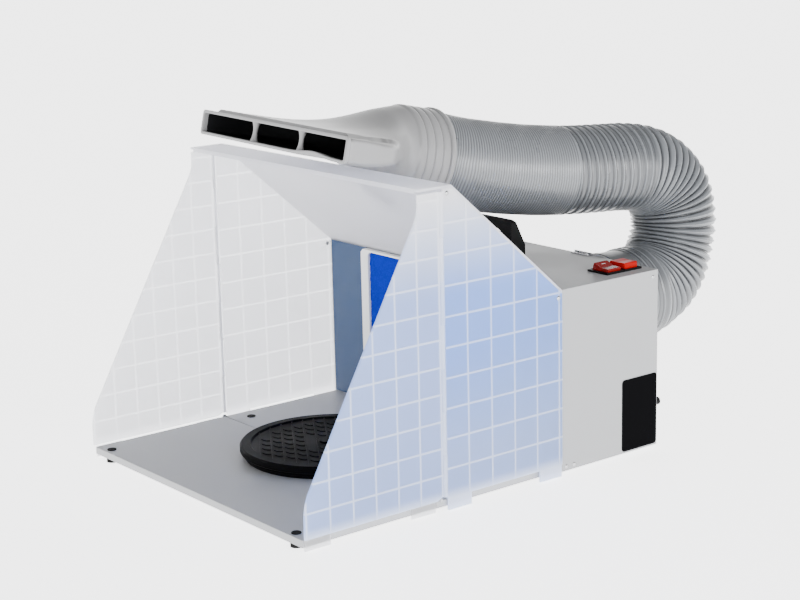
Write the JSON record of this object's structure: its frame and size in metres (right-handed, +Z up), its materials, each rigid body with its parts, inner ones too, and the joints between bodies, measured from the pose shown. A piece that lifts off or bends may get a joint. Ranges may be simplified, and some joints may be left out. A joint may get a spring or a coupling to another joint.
{
  "type": "folding spray booth",
  "caption": "Portable folding spray booth for airbrush work: frosted side sheets, fold-up floor, turntable, filter, fan cabinet, extractor hose and flat nozzle.",
  "frame": {"origin": "middle of the booth at table level, under its feet, measured without the hose and nozzle", "axes": "+Z up, +Y from the open front towards the fan cabinet, +X to the right seen from the front"},
  "size_m": [0.426, 0.6915, 0.4099],
  "materials": {
    "cabinet_metal": "light grey satin powder coat",
    "inner_metal": "grey satin powder coat",
    "floor_metal": "mid grey satin powder coat",
    "motor_metal": "dark motor housing",
    "bright_steel": "bright plated",
    "dark_steel": "dark plated",
    "filter_frame": "off-white moulding",
    "filter_pad": "blue fibre mat",
    "fan_plastic": "black moulding",
    "nozzle_plastic": "light grey satin moulding",
    "hose_plastic": "grey corrugated plastic",
    "black_plastic": "black moulding",
    "label": "blank black label",
    "rocker_red": "red gloss",
    "rubber": "black",
    "frosted_sheet": "frosted translucent sheet",
    "hood_sheet": "white translucent sheet",
    "turntable_plastic": "black semi-gloss moulding"
  },
  "bodies": {
    "base": {"case_shell": "cabinet_metal", "inlet_panel": "inner_metal", "rear_panel": "cabinet_metal", "filter_frame": "filter_frame", "filter_pad": "filter_pad", "fan_duct": "fan_plastic", "fan_motor": "motor_metal", "exhaust_collar": "cabinet_metal", "collar_clip": "bright_steel", "hose_cuff": "nozzle_plastic", "exhaust_hose": "hose_plastic", "nozzle": "nozzle_plastic", "carry_handle": "black_plastic", "rating_label": "label", "power_inlet": "black_plastic", "switch_bezel_fan": "black_plastic", "switch_bezel_aux": "black_plastic", "case_screws": "bright_steel", "floor_rear": "floor_metal", "hinge_ears": "dark_steel", "feet_rear": "rubber", "hood": "hood_sheet", "hood_screws": "bright_steel", "side_panel_right": "frosted_sheet", "side_panel_left": "frosted_sheet", "leaf_pin_right": "bright_steel", "leaf_pin_left": "bright_steel"},
    "floor_flap": {"floor_front": "floor_metal", "hinge_studs": "bright_steel", "feet_front": "rubber", "floor_clips": "frosted_sheet"},
    "leaf_right": {"side_leaf_right": "frosted_sheet"},
    "leaf_left": {"side_leaf_left": "frosted_sheet"},
    "turntable": {"turntable_base": "turntable_plastic", "turntable_spindle": "bright_steel"},
    "turntable_top": {"turntable_disc": "turntable_plastic"},
    "fan_rotor": {"fan_impeller": "fan_plastic", "motor_shaft": "bright_steel"},
    "fan_switch": {"rocker_fan": "rocker_red"},
    "aux_switch": {"rocker_aux": "rocker_red"}
  },
  "joints": [
    {"name": "floor_fold", "type": "hinge", "parent": "base", "child": "floor_flap", "pos_m": [0, -0.1025, 0.0134], "axis": [-1, 0, 0], "range_deg": [0, 90]},
    {"name": "leaf_right_fold", "type": "hinge", "parent": "base", "child": "leaf_right", "pos_m": [0.21045, -0.0995, 0.18], "axis": [0, 0, 1], "range_deg": [-60, 0]},
    {"name": "leaf_left_fold", "type": "hinge", "parent": "base", "child": "leaf_left", "pos_m": [-0.21045, -0.0995, 0.18], "axis": [0, 0, -1], "range_deg": [-60, 0]},
    {"name": "turntable_lift", "type": "slide", "parent": "base", "child": "turntable", "axis": [0, -0.5, 0.866], "range_m": [0, 0.401]},
    {"name": "turntable_spin", "type": "hinge", "parent": "turntable", "child": "turntable_top", "pos_m": [-0.005, -0.0925, 0.02], "axis": [0, 0, 1], "continuous": true},
    {"name": "fan_spin", "type": "hinge", "parent": "base", "child": "fan_rotor", "pos_m": [0.112, 0.1885, 0.161], "axis": [0, 1, 0], "continuous": true},
    {"name": "fan_switch_tilt", "type": "hinge", "parent": "base", "child": "fan_switch", "pos_m": [0.178, 0.17, 0.211], "axis": [0, 1, 0], "range_deg": [-24, 0]},
    {"name": "aux_switch_tilt", "type": "hinge", "parent": "base", "child": "aux_switch", "pos_m": [0.178, 0.198, 0.211], "axis": [0, 1, 0], "range_deg": [-10, 10]}
  ],
  "couplings": [
    {"joint": "turntable_lift", "follows": "floor_fold", "m_per_rad": 0.25465}
  ]
}
